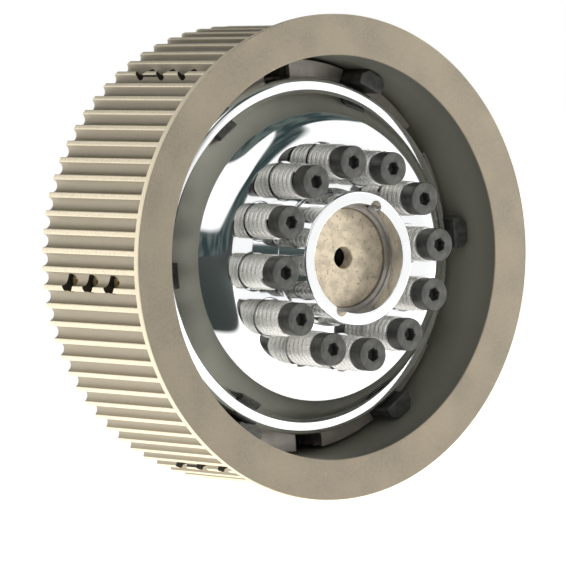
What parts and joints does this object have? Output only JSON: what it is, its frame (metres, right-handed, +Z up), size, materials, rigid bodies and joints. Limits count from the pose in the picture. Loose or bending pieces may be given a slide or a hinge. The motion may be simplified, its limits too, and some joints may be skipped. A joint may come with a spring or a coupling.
{
  "type": "dry multi-plate belt-drive clutch",
  "caption": "Dry multi-plate clutch: toothed-belt drum with front flange, polished domed pressure plate, ring of socket-head bolts with coil springs, and a central boss with release disc.",
  "frame": {"origin": "on the shaft axis, in the plane of the hub's back seating face", "axes": "+Y along the shaft towards the gearbox, so the open front with the bolts faces -Y; +Z up, +X to the right seen from the front"},
  "size_m": [0.2064, 0.0964, 0.2064],
  "materials": {
    "hard_anodised": "matt hard-anodised, tan grey",
    "black_steel": "black oxide, satin",
    "friction_plate": "worn grey-tan steel with dark lining",
    "ground_steel": "ground",
    "turned_alloy": "turned",
    "bearing_steel": "ground and polished",
    "polished_alloy": "mirror polished",
    "blasted_steel": "bead blasted, sandy tan",
    "spring_steel": "bright plated"
  },
  "bodies": {
    "hub": {"inner_hub": "turned_alloy", "bearing_inner_race": "bearing_steel", "hub_circlip": "black_steel", "shoulder_bolt_1": "black_steel", "shoulder_bolt_2": "black_steel", "shoulder_bolt_3": "black_steel", "shoulder_bolt_4": "black_steel", "shoulder_bolt_5": "black_steel", "shoulder_bolt_6": "black_steel", "shoulder_bolt_7": "black_steel", "shoulder_bolt_8": "black_steel", "shoulder_bolt_9": "black_steel", "shoulder_bolt_10": "black_steel", "shoulder_bolt_11": "black_steel", "shoulder_bolt_12": "black_steel", "clutch_spring_1": "spring_steel", "clutch_spring_2": "spring_steel", "clutch_spring_3": "spring_steel", "clutch_spring_4": "spring_steel", "clutch_spring_5": "spring_steel", "clutch_spring_6": "spring_steel", "clutch_spring_7": "spring_steel", "clutch_spring_8": "spring_steel", "clutch_spring_9": "spring_steel", "clutch_spring_10": "spring_steel", "clutch_spring_11": "spring_steel", "clutch_spring_12": "spring_steel"},
    "drum": {"belt_drum": "hard_anodised", "drive_bar_1": "black_steel", "drive_bar_2": "black_steel", "drive_bar_3": "black_steel", "drive_bar_4": "black_steel", "drive_bar_5": "black_steel", "drive_bar_6": "black_steel", "bearing_outer_race": "bearing_steel", "drum_circlip": "black_steel"},
    "ball_cage": {"bearing_ball_cage": "bearing_steel"},
    "pressure_plate": {"pressure_plate": "polished_alloy", "release_disc": "blasted_steel", "release_snap_ring": "ground_steel"},
    "friction_plate_1": {"friction_plate_1": "friction_plate"},
    "steel_plate_1": {"steel_plate_1": "ground_steel"},
    "friction_plate_2": {"friction_plate_2": "friction_plate"},
    "steel_plate_2": {"steel_plate_2": "ground_steel"},
    "friction_plate_3": {"friction_plate_3": "friction_plate"},
    "steel_plate_3": {"steel_plate_3": "ground_steel"},
    "friction_plate_4": {"friction_plate_4": "friction_plate"},
    "steel_plate_4": {"steel_plate_4": "ground_steel"},
    "friction_plate_5": {"friction_plate_5": "friction_plate"}
  },
  "joints": [
    {"name": "drum_spin", "type": "hinge", "parent": "hub", "child": "drum", "pos_m": [0, -0.0071, 0], "axis": [0, -1, 0], "continuous": true},
    {"name": "ball_cage_spin", "type": "hinge", "parent": "hub", "child": "ball_cage", "pos_m": [0, -0.0071, 0], "axis": [0, -1, 0], "continuous": true},
    {"name": "pressure_plate_lift", "type": "slide", "parent": "hub", "child": "pressure_plate", "axis": [0, -1, 0], "range_m": [0, 0.002], "stiffness_N_per_m": 5000, "deforming": ["clutch_spring_1", "clutch_spring_2", "clutch_spring_3", "clutch_spring_4", "clutch_spring_5", "clutch_spring_6", "clutch_spring_7", "clutch_spring_8", "clutch_spring_9", "clutch_spring_10", "clutch_spring_11", "clutch_spring_12"]},
    {"name": "friction_plate_1_float", "type": "slide", "parent": "drum", "child": "friction_plate_1", "axis": [0, -1, 0], "range_m": [0, 0.0018]},
    {"name": "steel_plate_1_float", "type": "slide", "parent": "hub", "child": "steel_plate_1", "axis": [0, -1, 0], "range_m": [0, 0.0016]},
    {"name": "friction_plate_2_float", "type": "slide", "parent": "drum", "child": "friction_plate_2", "axis": [0, -1, 0], "range_m": [0, 0.0014]},
    {"name": "steel_plate_2_float", "type": "slide", "parent": "hub", "child": "steel_plate_2", "axis": [0, -1, 0], "range_m": [0, 0.0012]},
    {"name": "friction_plate_3_float", "type": "slide", "parent": "drum", "child": "friction_plate_3", "axis": [0, -1, 0], "range_m": [0, 0.001]},
    {"name": "steel_plate_3_float", "type": "slide", "parent": "hub", "child": "steel_plate_3", "axis": [0, -1, 0], "range_m": [0, 0.0008]},
    {"name": "friction_plate_4_float", "type": "slide", "parent": "drum", "child": "friction_plate_4", "axis": [0, -1, 0], "range_m": [0, 0.0006]},
    {"name": "steel_plate_4_float", "type": "slide", "parent": "hub", "child": "steel_plate_4", "axis": [0, -1, 0], "range_m": [0, 0.0004]},
    {"name": "friction_plate_5_float", "type": "slide", "parent": "drum", "child": "friction_plate_5", "axis": [0, -1, 0], "range_m": [0, 0.0002]}
  ],
  "couplings": [
    {"joint": "ball_cage_spin", "follows": "drum_spin", "ratio": 0.555},
    {"joint": "friction_plate_1_float", "follows": "pressure_plate_lift", "ratio": 0.9},
    {"joint": "steel_plate_1_float", "follows": "pressure_plate_lift", "ratio": 0.8},
    {"joint": "friction_plate_2_float", "follows": "pressure_plate_lift", "ratio": 0.7},
    {"joint": "steel_plate_2_float", "follows": "pressure_plate_lift", "ratio": 0.6},
    {"joint": "friction_plate_3_float", "follows": "pressure_plate_lift", "ratio": 0.5},
    {"joint": "steel_plate_3_float", "follows": "pressure_plate_lift", "ratio": 0.4},
    {"joint": "friction_plate_4_float", "follows": "pressure_plate_lift", "ratio": 0.3},
    {"joint": "steel_plate_4_float", "follows": "pressure_plate_lift", "ratio": 0.2},
    {"joint": "friction_plate_5_float", "follows": "pressure_plate_lift", "ratio": 0.1}
  ]
}
